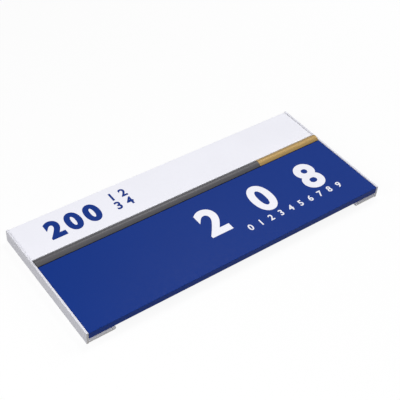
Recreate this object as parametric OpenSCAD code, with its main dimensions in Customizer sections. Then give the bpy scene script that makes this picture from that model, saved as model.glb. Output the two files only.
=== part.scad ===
// Door name plate. Two side rails stick or screw to the door. They carry a header panel and a
// name panel, which slide off along the rails, and a carrier that holds the bead between them.
// X runs along the plate, Y runs up it and Z comes out of its face. The door is the plane z = 0.

/* [Plate] */
// Length of the plate over both side rails
plate_w = 280; // [220:1:360]
// Height of the plate, which is the length of the side rails
plate_h = 120; // [100:1:180]
// Height of the header panel
header_h = 38.15; // [35:0.05:48]

/* [Side rails] */
// Height of a rail's outer wall above the door
rail_h = 11.4; // [11:0.1:16]
// Thickness of a rail's outer wall
wall_t = 1.6; // [1.2:0.1:2.4]
// Least width of the flat on top of the wall
wall_flat = 0.1; // [0.05:0.05:0.5]
// Radius of the wall's outer top edge
shoulder_r = 0.3; // [0.2:0.1:2]
// Width of a rail's base, from its outer face to the inner side of its lip
flange_w = 24; // [19:0.5:32]
// Thickness of the base
flange_t = 1.6; // [1.2:0.1:2]
// Height of the base's underside above the door, which leaves room for the tape
flange_lift = 0.8; // [0.6:0.1:1.4]
// Radius of the round lip along the base's inner edge
lip_r = 1.5; // [1.2:0.1:1.6]
// Radius of the bore in the lip
lip_bore_r = 0.7; // [0.4:0.1:0.8]
// Width of the ledge that stands out of the wall under the panels
ledge_w = 1.4; // [0.8:0.1:2]
// Thickness of the ledge
ledge_t = 1.0; // [0.6:0.1:1.2]

/* [Panels] */
// Depth of the panels' faces below the top of the rails
face_drop = 0.6; // [0.3:0.1:1.4]
// Thickness of a panel's face
face_t = 1.5; // [1.2:0.1:1.8]
// Height of a panel's long sides
skirt_h = 5.8; // [5:0.1:6]
// Thickness of a panel's long sides
skirt_t = 1.4; // [1:0.1:2]
// Radius of a panel's long edges
edge_r = 0.3; // [0.2:0.1:1]
// Distance from a panel's long side to the middle of the clip track near it
track_inset = 12; // [9:0.5:14]
// Width of a clip track inside
track_w = 7; // [6:0.1:9]
// Width of the mouth of a clip track
track_mouth = 4; // [3:0.1:5]
// Depth of a clip track inside
track_depth = 2; // [1.6:0.1:2.2]
// Thickness of the lips at the track's mouth
track_lip = 1; // [0.8:0.1:1.2]
// Thickness of the track's walls
track_wall = 1.2; // [0.8:0.1:1.6]

/* [Bead] */
// Width of the bead
bead_w = 7.8; // [6.4:0.1:9]
// Height of the bead's crown above the panels
bead_rise = 2.2; // [1.2:0.1:3]
// Height of the bead's sides below the panels' faces
bead_flank = 0.1; // [0.1:0.1:1.2]
// Wall thickness of the bead
bead_t = 1; // [0.8:0.1:1.2]
// Length of the gold piece at the right
gold_l = 65; // [30:0.5:100]
// Length of the bead's snap legs below its sides
leg_l = 2.5; // [2.2:0.1:2.8]
// Thickness of the snap legs
leg_t = 0.8; // [0.6:0.1:1]
// Reach of the barb on each leg and of the nib that holds it
snap = 0.3; // [0.2:0.05:0.4]

/* [Bead carrier] */
// Distance from the bead's side to the carrier's side
carrier_inset = 0.3; // [0.1:0.1:0.5]
// Thickness of the carrier's side walls
carrier_wall = 1.1; // [0.8:0.1:1.2]
// Thickness of the carrier's web
web_t = 2; // [1.5:0.1:2.2]

/* [Clips] */
// Length of a clip's foot along its track
clip_l = 10; // [8:0.5:12]
// Width of a clip's jaw along the rail
clip_w = 8; // [6:0.5:9]
// Thickness of the jaw's two arms
jaw_t = 1.2; // [0.8:0.1:1.6]
// Reach of the jaw's hook below the middle of the lip
hook_drop = 1; // [0.6:0.1:1.2]

/* [Screws, tape and liner] */
// Distance of the holes for the door screws from the rail's outer face
hole_u = 11; // [9:0.5:13]
// Distance of the holes for the door screws from the rail's ends
hole_inset = 10; // [6:0.5:14]
// Radius of the holes for the door screws
hole_r = 2.1; // [1.6:0.1:2.6]
// Depth of the countersink of those holes
hole_csk = 1; // [0.4:0.1:1]
// Radius of the carrier screws
screw_r = 1.3; // [1:0.1:1.4]
// Radius of the carrier screws' heads
head_r = 2.7; // [2.3:0.1:2.7]
// Distance from the tape's ends to the rail's ends
tape_end = 18; // [16:0.5:30]
// Gap on each side of the tape
tape_margin = 0.75; // [0.3:0.05:2]
// Thickness of the release liner
liner_t = 0.1; // [0.05:0.05:0.2]
// Length of the liner's pull tab
tab_l = 4; // [2:0.5:5]

/* [Fits] */
// Gap between a panel's end and the rail's wall
side_gap = 0.2; // [0.15:0.05:0.6]
// Gap between a panel's long side and the bead
bead_gap = 0.5; // [0.15:0.05:0.6]
// Gap between the bead's end and the rail's wall
bead_end_gap = 0.3; // [0.2:0.1:1.5]
// Gap between the two pieces of the bead
bead_joint = 0.1; // [0.05:0.05:0.5]
// Gap between the panels' sides and the rail's ledge
rest_gap = 0.2; // [0.1:0.05:0.3]
// Gap round a clip's foot in its track
clip_gap = 0.2; // [0.1:0.05:0.3]
// Gap between a clip's jaw and the rail
jaw_gap = 0.2; // [0.1:0.05:0.3]
// Gap between the bead and its carrier
seat_gap = 0.1; // [0.05:0.05:0.2]
// Gap round the bead's legs and their barbs
snap_gap = 0.15; // [0.1:0.05:0.2]
// Gap between the bead's legs and the carrier's web
leg_gap = 0.3; // [0.2:0.05:0.5]
// Gap between the carrier's notches and the rail
notch_gap = 0.3; // [0.2:0.05:0.5]
// Gap round the carrier screws in the rail
screw_gap = 0.3; // [0.1:0.05:0.4]
// Gap round the carrier screws' threads
thread_gap = 0.04; // [0.02:0.01:0.08]
// Gap round the carrier screws' heads
head_gap = 0.1; // [0.05:0.05:0.2]
// Height of the rails' walls above the door while the liner is on
wall_gap = 0.2; // [0.1:0.05:0.3]

/* [Hidden] */
$fn = 64;

sides = ["left", "right"];
rows = ["lower", "upper"];
panels = ["header", "name"];
clip_places = [for (panel = panels) for (side = sides) for (row = rows) [panel, side, row]];
function clip_name(place) = str(place[0], "_clip_", place[1], "_", place[2]);

white = [0.93, 0.93, 0.95];
blue = [0.14, 0.23, 0.53];
grey = [0.38, 0.38, 0.40];
gold = [0.75, 0.62, 0.41];
nylon = [0.90, 0.89, 0.84];
steel = [0.70, 0.71, 0.73];
foam = [0.45, 0.46, 0.47];
paper = [0.92, 0.88, 0.72];
black = [0.08, 0.08, 0.09];

// Rail: u is the distance from the outer face, so the base runs from u = 0 to u = flange_w
flange_top = flange_lift + flange_t;
lip_u = flange_w - lip_r;
lip_z = flange_lift + lip_r;
lip_top = lip_z + lip_r;
shoulder = min(shoulder_r, wall_t - wall_flat);

// Panels
face_z = rail_h - face_drop;
skirt_z = face_z - skirt_h;
ledge_top = skirt_z - rest_gap;
track_z = face_z - face_t - track_depth - track_lip;
panel_l = plate_w - 2 * (wall_t + side_gap);
header_y = plate_h / 2 - header_h;
bead_y = header_y - bead_gap - bead_w / 2;
name_h = bead_y - bead_w / 2 - bead_gap + plate_h / 2;

// Bead: an arc over the panels' faces, on short upright sides
bead_top = face_z + bead_rise;
bead_r = (pow(bead_w / 2, 2) + pow(bead_rise, 2)) / (2 * bead_rise);
bead_axis_z = bead_top - bead_r;
bead_bottom = face_z - bead_flank;
bead_inner_r = bead_r - bead_t;
bead_inner_w = 2 * arc_h(bead_inner_r, face_z - bead_axis_z);
bead_half_l = plate_w / 2 - wall_t - bead_end_gap;
leg_bottom = bead_bottom - leg_l;

// Carrier: an upright channel for the legs, over a web, over two long feet
carrier_w = bead_w - 2 * carrier_inset;
channel_w = carrier_w - 2 * carrier_wall;
carrier_top = bead_bottom - seat_gap;
web_top = leg_bottom - leg_gap;
nib_z = carrier_top - 2 * snap;
leg_outer = channel_w / 2 - snap - snap_gap;
leg_inner = leg_outer - leg_t;
leg_top = bead_axis_z + (arc_h(bead_inner_r, leg_inner) + arc_h(bead_r, leg_outer)) / 2;
barb_top = nib_z - snap_gap;
barb_h = 2 * snap;
web_screw_r = screw_r + thread_gap;
rail_screw_r = screw_r + screw_gap;

// Tape and liner
tape_u = wall_t + tape_margin;
tape_w = flange_w - 2 * lip_r - tape_margin - tape_u;
tape_l = plate_h - 2 * tape_end;

// Height of an arc of radius r above its centre, at a distance from its middle
function arc_h(r, distance) = sqrt(pow(r, 2) - pow(distance, 2));

// Length by which a cutting shape runs past the face that it cuts
past = 1;

function panel_y(panel) = panel == "header" ? header_y : -plate_h / 2;
function panel_h(panel) = panel == "header" ? header_h : name_h;
function track_y(panel, row) =
    row == "lower" ? panel_y(panel) + track_inset : panel_y(panel) + panel_h(panel) - track_inset;

// Puts a shape drawn for the left rail, with x as u, on the named side
module on_side(side) {
    mirror([side == "right" ? 1 : 0, 0, 0])
        translate([-plate_w / 2, 0, 0])
            children();
}

// Extrudes an outline of (x, z) along Y, or one of (y, z) along X, about its middle
module along_y(length) {
    rotate([90, 0, 0])
        linear_extrude(length, center = true)
            children();
}

module along_x(length) {
    rotate([90, 0, 90])
        linear_extrude(length, center = true)
            children();
}

// A rectangle that is centred on x = 0 and stands on y = bottom
module upright(width, bottom, top) {
    translate([-width / 2, bottom])
        square([width, top - bottom]);
}

// What lies outside a round corner, for a corner that points to +x +y from the arc's centre
module corner_waste(r) {
    difference() {
        square(r + past);
        circle(r);
    }
}

module rail_outline() {
    difference() {
        union() {
            translate([0, wall_gap])
                square([wall_t, rail_h - wall_gap]);
            translate([0, flange_lift])
                square([lip_u, flange_t]);
            translate([0, ledge_top - ledge_t])
                square([wall_t + ledge_w, ledge_t]);
            translate([lip_u, lip_z])
                circle(lip_r);
        }
        translate([lip_u, lip_z])
            circle(lip_bore_r);
        translate([shoulder, rail_h - shoulder])
            rotate(90)
                corner_waste(shoulder);
    }
}

module door_screw_hole() {
    translate([0, 0, flange_lift - past])
        cylinder(h = flange_t + 2 * past, r = hole_r);
    translate([0, 0, flange_top - hole_csk])
        cylinder(h = hole_csk + past, r1 = hole_r, r2 = hole_r + hole_csk + past);
}

module carrier_screw_hole() {
    csk_r = head_r + 2 * head_gap;
    translate([0, 0, flange_lift - past])
        cylinder(h = flange_t + 2 * past, r = rail_screw_r);
    translate([0, 0, flange_lift - past])
        cylinder(h = csk_r - rail_screw_r + past, r1 = csk_r + past, r2 = rail_screw_r);
}

module rail(side) {
    color(white)
        on_side(side)
            difference() {
                along_y(plate_h) rail_outline();
                for (end = [-1, 1])
                    translate([hole_u, end * (plate_h / 2 - hole_inset), 0])
                        door_screw_hole();
                translate([hole_u, bead_y, 0])
                    carrier_screw_hole();
            }
}

module track_outline() {
    difference() {
        upright(track_w + 2 * track_wall, track_z, face_z - face_t / 2);
        upright(track_w, track_z + track_lip, face_z - face_t);
        upright(track_mouth, track_z - past, face_z - face_t);
    }
}

module panel_outline(panel) {
    low = panel_y(panel);
    high = low + panel_h(panel);
    difference() {
        union() {
            difference() {
                translate([low, skirt_z])
                    square([high - low, skirt_h]);
                translate([low + skirt_t, skirt_z - past])
                    square([high - low - 2 * skirt_t, skirt_h - face_t + past]);
            }
            for (row = rows)
                translate([track_y(panel, row), 0])
                    track_outline();
        }
        translate([high - edge_r, face_z - edge_r])
            corner_waste(edge_r);
        translate([low + edge_r, face_z - edge_r])
            rotate(90)
                corner_waste(edge_r);
    }
}

module panel_extrusion(panel) {
    color(panel == "header" ? white : blue)
        along_x(panel_l)
            panel_outline(panel);
}

module bead_outline() {
    intersection() {
        translate([0, bead_axis_z])
            circle(bead_r);
        upright(bead_w, face_z, bead_top + past);
    }
    upright(bead_w, bead_bottom, face_z);
}

module bead_hollow() {
    intersection() {
        translate([0, bead_axis_z])
            circle(bead_inner_r);
        upright(bead_inner_w, face_z, bead_top);
    }
    upright(bead_inner_w, bead_bottom - past, face_z);
}

// One snap leg, from its foot up into the crown's wall, with its barb
module leg_outline() {
    translate([leg_inner, leg_bottom])
        square([leg_t, leg_top - leg_bottom]);
    polygon([
        [leg_inner, barb_top - barb_h],
        [leg_outer, barb_top - barb_h],
        [leg_outer + snap, barb_top],
        [leg_inner, barb_top]
    ]);
}

module bead_section() {
    difference() {
        bead_outline();
        bead_hollow();
    }
    for (flip = [0, 1])
        mirror([flip, 0])
            leg_outline();
}

// A stretch of the bead between two places along the plate
module bead_piece(x0, x1) {
    translate([(x0 + x1) / 2, bead_y, 0])
        along_x(x1 - x0)
            bead_section();
}

module grey_bead() {
    color(grey)
        bead_piece(-bead_half_l, bead_half_l - gold_l - bead_joint);
}

module gold_bead() {
    color(gold)
        bead_piece(bead_half_l - gold_l, bead_half_l);
}

module carrier_outline() {
    difference() {
        upright(carrier_w, flange_top, carrier_top);
        upright(channel_w, web_top, nib_z);
        upright(channel_w - 2 * snap, nib_z - past, carrier_top + past);
        upright(channel_w, flange_top - past, web_top - web_t);
    }
}

// Room for the rail's ledge and lip under the carrier, and the screw's thread
module carrier_cuts() {
    translate([-past, -carrier_w, 0])
        cube([wall_t + ledge_w + notch_gap + past, 2 * carrier_w, ledge_top + notch_gap]);
    translate([lip_u - lip_r - notch_gap, -carrier_w, 0])
        cube([2 * (lip_r + notch_gap), 2 * carrier_w, lip_top + notch_gap]);
    translate([hole_u, 0, flange_top])
        cylinder(h = carrier_top, r = web_screw_r);
}

module bead_carrier() {
    color(black)
        difference() {
            translate([0, bead_y, 0])
                along_x(panel_l)
                    carrier_outline();
            for (side = sides)
                on_side(side)
                    translate([0, bead_y, 0])
                        carrier_cuts();
        }
}

module carrier_screw() {
    head_z = flange_lift + head_gap;
    head_h = head_r - screw_r;
    slot_w = 0.6;
    slot_l = 1.5 * head_r;
    slot_h = head_h / 2;
    difference() {
        union() {
            translate([0, 0, head_z])
                cylinder(h = head_h, r1 = head_r, r2 = screw_r);
            translate([0, 0, head_z])
                cylinder(h = web_top - head_z, r = screw_r);
        }
        for (turn = [0, 90])
            rotate(turn)
                translate([-slot_l / 2, -slot_w / 2, head_z - past])
                    cube([slot_l, slot_w, slot_h + past]);
    }
}

module carrier_screws() {
    color(steel)
        for (side = sides)
            on_side(side)
                translate([hole_u, bead_y, 0])
                    carrier_screw();
}

module tape(side) {
    color(foam)
        on_side(side)
            translate([tape_u, -tape_l / 2, liner_t])
                cube([tape_w, tape_l, flange_lift - liner_t]);
}

module liner(side) {
    tab_r = tape_w / 4;
    color(paper)
        on_side(side)
            linear_extrude(liner_t) {
                translate([tape_u, -tape_l / 2])
                    square([tape_w, tape_l]);
                translate([tape_u + tape_w / 2, -tape_l / 2 - tab_l + tab_r])
                    circle(tab_r);
                translate([tape_u + tape_w / 2 - tab_r, -tape_l / 2 - tab_l + tab_r])
                    square([2 * tab_r, tab_l]);
            }
}

// The clip's jaw, drawn about the lip's middle: a bridge over the lip with an arm on each side of it
module jaw_outline() {
    bore_r = lip_r + jaw_gap;
    bridge_z = lip_z + bore_r;
    arm = bore_r + jaw_t;
    difference() {
        union() {
            upright(clip_l, bridge_z, track_z - clip_gap);
            translate([-arm, flange_top + jaw_gap])
                square([arm, track_z - clip_gap - flange_top - jaw_gap]);
            translate([0, lip_z - hook_drop])
                square([arm, track_z - clip_gap - lip_z + hook_drop]);
        }
        translate([0, lip_z])
            circle(bore_r);
    }
}

// The clip's foot, which fills the track behind the panel
module clip_foot_outline() {
    upright(track_w - 2 * clip_gap, track_z + track_lip + clip_gap, face_z - face_t - clip_gap);
    upright(track_mouth - 2 * clip_gap, track_z - clip_gap, face_z - face_t - clip_gap);
}

module clip(place) {
    color(nylon)
        on_side(place[1])
            translate([lip_u, track_y(place[0], place[2]), 0]) {
                along_y(clip_w) jaw_outline();
                along_x(clip_l) clip_foot_outline();
            }
}

rail("left");  // left_rail
rail("right");  // right_rail
panel_extrusion("header");  // header_panel
panel_extrusion("name");  // name_panel
bead_carrier();
grey_bead();
gold_bead();
carrier_screws();
tape("left");  // left_tape
tape("right");  // right_tape
liner("left");  // left_liner
liner("right");  // right_liner
for (place = clip_places)
    clip(place);
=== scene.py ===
"""Door name plate: the finished pieces, their materials and a plain stage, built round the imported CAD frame.

The CAD frame gives every place and outer size. The sections of the extrusions are drawn again here with
broken edges and bare cut ends, and the panels carry plain numerals.
"""

import math

import bmesh
import bpy
from bpy.props import FloatProperty, FloatVectorProperty, PointerProperty, StringProperty
from bpy.types import Node, NodeSocket, Operator, Panel, PropertyGroup
from mathutils import Matrix, Vector


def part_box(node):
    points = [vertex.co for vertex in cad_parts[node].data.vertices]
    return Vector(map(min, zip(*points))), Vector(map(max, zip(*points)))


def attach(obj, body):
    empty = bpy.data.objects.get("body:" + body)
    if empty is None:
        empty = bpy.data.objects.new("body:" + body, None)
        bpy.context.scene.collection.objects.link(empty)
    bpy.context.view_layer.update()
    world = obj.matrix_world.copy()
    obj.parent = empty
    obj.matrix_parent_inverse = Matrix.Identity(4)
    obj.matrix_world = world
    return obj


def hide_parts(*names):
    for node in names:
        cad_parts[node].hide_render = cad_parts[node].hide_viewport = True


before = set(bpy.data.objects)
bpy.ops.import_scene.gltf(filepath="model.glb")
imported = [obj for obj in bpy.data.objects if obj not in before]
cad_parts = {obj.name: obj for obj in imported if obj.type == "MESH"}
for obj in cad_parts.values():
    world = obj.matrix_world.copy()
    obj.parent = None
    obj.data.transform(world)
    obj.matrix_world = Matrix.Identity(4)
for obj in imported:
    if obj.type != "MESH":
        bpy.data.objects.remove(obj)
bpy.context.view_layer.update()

bl_info = {
    "name": "Door name plate",
    "version": (1, 0, 0),
    "blender": (4, 5, 0),
    "location": "3D View > Sidebar > Name plate",
    "description": "Builds the finished pieces of a door name plate round its CAD frame",
    "category": "Object",
}

MM = 0.001
SIDES = ("left", "right")
ROWS = ("lower", "upper")

# Turns that lay a bar along an axis, when its section is drawn in the XY plane
TURNS = {
    "x": (math.pi / 2, 0.0, math.pi / 2),
    "y": (math.pi / 2, 0.0, 0.0),
    "z": (0.0, 0.0, 0.0),
}

# Points that lie nearer than this are one point
WELD = 0.001 * MM
# The bead's crown stays this far under the top of the CAD box
HAIR = 0.001 * MM
# A cutter reaches this far past what it cuts
PAST = 1.0 * MM

# Edges sharper than this are broken, in so many steps
SHARP = math.radians(35)
EDGE_STEPS = 2

# Steps of arcs, of drilled rounds, of a turn of thread, of the foam's sides and of the figures' curves
ARC_STEP = math.radians(6)
ROUND_STEPS = 48
THREAD_STEPS = 8
FOAM_STEPS = 6
FIGURE_STEPS = 12

# Height of the built-in font's figures as a share of its size
FIGURE_SHARE = 0.7
# Radius of the liner's pull tab as a share of the liner's width
TAB_SHARE = 0.25
# Length of a screw's slot as a share of its head's radius
SLOT_SHARE = 1.5


def from_screen(red, green, blue):
    """A colour as a screen shows it, from 0 to 255, as the linear numbers that Blender works in."""
    shares = (red / 255, green / 255, blue / 255)
    return tuple(s / 12.92 if s <= 0.04045 else ((s + 0.055) / 1.055) ** 2.4 for s in shares)


def length(name, description, millimetres):
    kind = {"min": 0.0, "precision": 5, "subtype": "DISTANCE", "unit": "LENGTH"}
    return FloatProperty(name=name, description=description, default=millimetres * MM, **kind)


def colour(name, description, *screen):
    kind = {"min": 0.0, "max": 1.0, "size": 3, "subtype": "COLOR"}
    return FloatVectorProperty(name=name, description=description, default=from_screen(*screen), **kind)


def angle(name, description, degrees):
    kind = {"subtype": "ANGLE", "unit": "ROTATION"}
    return FloatProperty(name=name, description=description, default=math.radians(degrees), **kind)


def number(name, description, default):
    return FloatProperty(name=name, description=description, default=default, min=0.0)


def figures(name, description, default):
    return StringProperty(name=name, description=description, default=default)


class PlateSizes(PropertyGroup):
    wall: length("Wall", "Thickness of a rail's outer wall", 1.6)
    shoulder_r: length("Shoulder radius", "Radius of the wall's outer top edge", 0.3)
    base_lift: length("Base lift", "Height of a rail's base above the door", 0.8)
    base: length("Base", "Thickness of a rail's base", 1.6)
    lip_r: length("Lip radius", "Radius of the round lip along the base's inner edge", 1.5)
    lip_bore_r: length("Lip bore radius", "Radius of the bore in the lip", 0.7)
    ledge: length("Ledge", "Reach of the ledge under the panels", 1.4)
    ledge_t: length("Ledge thickness", "Thickness of the ledge", 1.0)
    ledge_gap: length("Ledge gap", "Gap between the panels' sides and the ledge", 0.2)
    hole_u: length("Hole distance", "Distance of the screw holes from a rail's outer face", 11.0)
    hole_inset: length("Hole inset", "Distance of the door screws' holes from a rail's ends", 10.0)
    hole_r: length("Hole radius", "Radius of the door screws' holes", 2.1)
    hole_csk: length("Countersink", "Depth of the door screws' countersinks", 1.0)
    face: length("Face", "Thickness of a panel's face", 1.5)
    skirt: length("Skirt", "Thickness of a panel's long sides", 1.4)
    edge_r: length("Edge radius", "Radius of a panel's long edges", 0.3)
    track_inset: length("Track inset", "Distance of a clip track from a panel's long side", 12.0)
    track: length("Track", "Width of a clip track inside", 7.0)
    track_mouth: length("Track mouth", "Width of a clip track's mouth", 4.0)
    track_depth: length("Track depth", "Depth of a clip track inside", 2.0)
    track_lip: length("Track lip", "Thickness of the lips at a track's mouth", 1.0)
    track_wall: length("Track wall", "Thickness of a track's walls", 1.2)
    bead_flank: length("Bead flank", "Height of the bead's upright sides", 0.1)
    bead_wall: length("Bead wall", "Wall thickness of the bead", 1.0)
    leg: length("Leg", "Thickness of the bead's snap legs", 0.8)
    leg_gap: length("Leg gap", "Gap under and beside the snap legs", 0.15)
    snap: length("Snap", "Reach of the barbs and of the nibs that hold them", 0.3)
    carrier_wall: length("Carrier wall", "Thickness of the carrier's sides", 1.1)
    web: length("Web", "Thickness of the carrier's web", 2.0)
    web_z: length("Web height", "Height of the top of the carrier's web above the door", 7.9)
    notch_gap: length("Notch gap", "Gap between the carrier's notches and the rail", 0.3)
    screw_r: length("Screw radius", "Radius of the carrier screws", 1.3)
    screw_hole_r: length("Screw hole radius", "Radius of the carrier screws' holes", 1.6)
    thread_hole_r: length("Thread hole radius", "Radius of the carrier's bores for the screws", 1.34)
    thread_pitch: length("Thread pitch", "Pitch of the carrier screws", 0.45)
    thread_depth: length("Thread depth", "Depth of the carrier screws' thread", 0.25)
    head_break: length("Head break", "Width of the broken edge of a screw's head", 0.075)
    slot: length("Slot", "Width of the cross slot in a screw's head", 0.6)
    slot_depth: length("Slot depth", "Depth of the cross slot", 0.7)
    clip_gap: length("Clip gap", "Gap round a clip", 0.2)
    jaw: length("Jaw", "Thickness of a clip's two arms", 1.2)
    hook: length("Hook", "Reach of a clip's hook below the middle of the lip", 1.0)
    tape_waist: length("Tape waist", "Depth by which the foam's cut sides draw in", 0.12)
    edge_break: length("Edge break", "Width of the broken edges of the extrusions", 0.14)
    film: length("Film", "Thickness of the numerals' film", 0.06)
    large_figure: length("Large figures", "Height of the name panel's large numerals", 28.0)
    row_figure: length("Row figures", "Height of the row of numerals under them", 6.0)
    head_figure: length("Header figures", "Height of the header's large numerals", 17.5)
    block_figure: length("Block figures", "Height of the header's small numerals", 8.3)


class PlateColours(PropertyGroup):
    white_rail: colour("Rails", "Powder coat of the side rails", 220, 220, 228)
    white_panel: colour("Header", "Powder coat of the header panel", 236, 236, 244)
    blue_panel: colour("Name panel", "Paint of the name panel", 14, 49, 128)
    grey_anodised: colour("Grey bead", "Anodised grey piece of the bead", 80, 79, 82)
    gold_anodised: colour("Gold bead", "Anodised gold piece of the bead", 163, 134, 82)
    # The carrier's near-black tone is painted shade: it darkens the narrow gap beside the bead, where the
    # carrier shows through
    black_anodised: colour("Carrier", "Black anodised carrier", 26, 26, 28)
    cut_aluminium: colour("Cut aluminium", "Sawn and drilled aluminium", 180, 178, 178)
    zinc_steel: colour("Screws", "Zinc plated steel", 196, 198, 204)
    nylon: colour("Clips", "Natural nylon", 229, 226, 212)
    foam_tape: colour("Foam tape", "Grey foam of the mounting tape", 112, 114, 117)
    liner_paper: colour("Liner", "Coated release paper", 232, 220, 178)


class PlateStage(PropertyGroup):
    header_figures: figures("Header numerals", "Large numerals on the header panel", "200")
    block_upper: figures("Upper block", "Upper row of the header's small numerals", "12")
    block_lower: figures("Lower block", "Lower row of the header's small numerals", "34")
    name_figures: figures("Name numerals", "Large numerals on the name panel", "208")
    row_figures: figures("Row numerals", "Row of small numerals on the name panel", "0123456789")
    azimuth: angle("Azimuth", "Camera's direction round the plate", -38.7113)
    elevation: angle("Elevation", "Camera's height above the plate's plane", 43.1329)
    roll: angle("Roll", "Camera's roll", 4.0934)
    distance: length("Distance", "Camera's distance", 725.743)
    aim_x: length("Aim across", "Camera's sideways offset from the plate's middle", 0.80675)
    aim_y: length("Aim up", "Camera's upward offset from the plate's middle", 14.2231)
    lens: FloatProperty(name="Lens", description="Focal length", default=80.985, unit="CAMERA")
    front_watts: number("Front light", "Power of the light at the front left", 8.6)
    left_watts: number("Left light", "Power of the light at the left", 4.9)
    right_watts: number("Right light", "Power of the light at the right", 5.0)
    back_watts: number("Back light", "Power of the light at the back right", 5.3)
    sky: number("Sky", "Strength of the even light from all round", 0.035)
    floor_shown: number("Floor shown", "Share of the light that the floor shows to the camera", 0.94)
    floor_thrown: number("Floor thrown", "Share of the light that the floor throws on the plate", 0.25)
    floor_white: number("Floor white", "Share of plain white in what the floor shows", 0.86)


def sizes():
    return bpy.context.scene.nameplate_sizes


def colours():
    return bpy.context.scene.nameplate_colours


# Sections


def arc(centre, radius, start, end):
    """Points of an arc between two angles in degrees, both ends included."""
    first = math.radians(start)
    sweep = math.radians(end) - first
    steps = max(2, math.ceil(abs(sweep) / ARC_STEP))
    turns = [first + sweep * i / steps for i in range(steps + 1)]
    return [(centre[0] + radius * math.cos(t), centre[1] + radius * math.sin(t)) for t in turns]


def mirrored(points):
    return [(-a, b) for a, b in points]


def moved(points, by):
    return [(by + a, b) for a, b in points]


def rail_section(side):
    """A rail's outline and its lip's bore, seen from the plate's lower end."""
    s = sizes()
    low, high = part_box("left_rail")
    outer, inner = low.x, low.x + s.wall
    base_z = s.base_lift
    base_top = base_z + s.base
    lip = (high.x - s.lip_r, base_z + s.lip_r)
    ledge_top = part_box("name_panel")[0].z - s.ledge_gap
    ledge_low = ledge_top - s.ledge_t
    shoulder = s.shoulder_r
    meets = 180 - math.degrees(math.asin((base_top - lip[1]) / s.lip_r))
    outline = [
        (outer, low.z),
        (inner, low.z),
        (inner, base_z),
        *arc(lip, s.lip_r, -90, meets),
        (inner, base_top),
        (inner, ledge_low),
        (inner + s.ledge, ledge_low),
        (inner + s.ledge, ledge_top),
        (inner, ledge_top),
        (inner, high.z),
        *arc((outer + shoulder, high.z - shoulder), shoulder, 90, 180),
    ]
    bore = arc(lip, s.lip_bore_r, 0, 360)[:-1]
    loops = [outline, bore]
    return loops if side == "left" else [mirrored(loop) for loop in loops]


def panel_section(node):
    """A panel's outline: a face on two skirts, with two clip tracks behind it."""
    s = sizes()
    low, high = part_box(node)
    under = high.z - s.face
    lip_z = under - s.track_depth
    mouth_z = under - s.track_depth - s.track_lip
    inside, mouth = s.track / 2, s.track_mouth / 2
    outside = inside + s.track_wall
    track = [(outside, under), (outside, mouth_z), (mouth, mouth_z)]
    track += [(mouth, lip_z), (inside, lip_z), (inside, under)]
    outline = [(low.y, low.z), (low.y + s.skirt, low.z), (low.y + s.skirt, under)]
    for middle in (low.y + s.track_inset, high.y - s.track_inset):
        outline += moved(mirrored(track) + track[::-1], middle)
    outline += [(high.y - s.skirt, under), (high.y - s.skirt, low.z), (high.y, low.z)]
    outline += arc((high.y - s.edge_r, high.z - s.edge_r), s.edge_r, 0, 90)
    outline += arc((low.y + s.edge_r, high.z - s.edge_r), s.edge_r, 90, 180)
    return [outline]


def carrier_numbers():
    """What the carrier and the bead share: their middle, two half widths and the nibs' height."""
    s = sizes()
    low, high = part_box("bead_carrier")
    half = (high.y - low.y) / 2
    channel = half - s.carrier_wall
    nib_z = high.z - 2 * s.snap
    return (low.y + high.y) / 2, half, channel, nib_z


def bead_section():
    """The bead's outline: a crowned strip, hollow below, with two barbed snap legs."""
    s = sizes()
    low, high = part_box("grey_bead")
    middle, _, channel, nib_z = carrier_numbers()
    half = (high.y - low.y) / 2
    face_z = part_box("name_panel")[1].z
    flank_z = face_z - s.bead_flank
    rise = high.z - HAIR - face_z
    crown_r = (half**2 + rise**2) / (2 * rise)
    axis_z = face_z + rise - crown_r
    hollow_r = crown_r - s.bead_wall
    hollow = math.sqrt(hollow_r**2 - (face_z - axis_z) ** 2)
    leg_out = channel - s.snap - s.leg_gap
    leg_in = leg_out - s.leg
    barb_top = nib_z - s.leg_gap
    barb_low = barb_top - 2 * s.snap

    def up(distance):
        return math.degrees(math.acos(distance / hollow_r))

    crown = (0.0, axis_z)
    right = [
        (leg_in, low.z),
        (leg_out, low.z),
        (leg_out, barb_low),
        (leg_out + s.snap, barb_top),
        (leg_out, barb_top),
        *arc(crown, hollow_r, up(leg_out), up(hollow)),
        (hollow, flank_z),
        (half, flank_z),
    ]
    rim = math.degrees(math.atan2(face_z - axis_z, half))
    outline = [
        *mirrored(reversed(right)),
        *arc(crown, hollow_r, 180 - up(leg_in), up(leg_in)),
        *right,
        *arc(crown, crown_r, rim, 180 - rim),
    ]
    return [moved(outline, middle)]


def carrier_section():
    """The carrier's outline: a channel for the bead's legs over a web, on two feet."""
    s = sizes()
    low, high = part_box("bead_carrier")
    middle, half, channel, nib_z = carrier_numbers()
    right = [
        (channel, s.web_z - s.web),
        (channel, low.z),
        (half, low.z),
        (half, high.z),
        (channel - s.snap, high.z),
        (channel - s.snap, nib_z),
        (channel, nib_z),
        (channel, s.web_z),
    ]
    return [moved(right + mirrored(reversed(right)), middle)]


def clip_top():
    """Height of the top of a clip's jaw, below the track's mouth."""
    s = sizes()
    face_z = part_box("header_panel")[1].z
    return face_z - s.face - s.track_depth - s.track_lip - s.clip_gap


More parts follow.
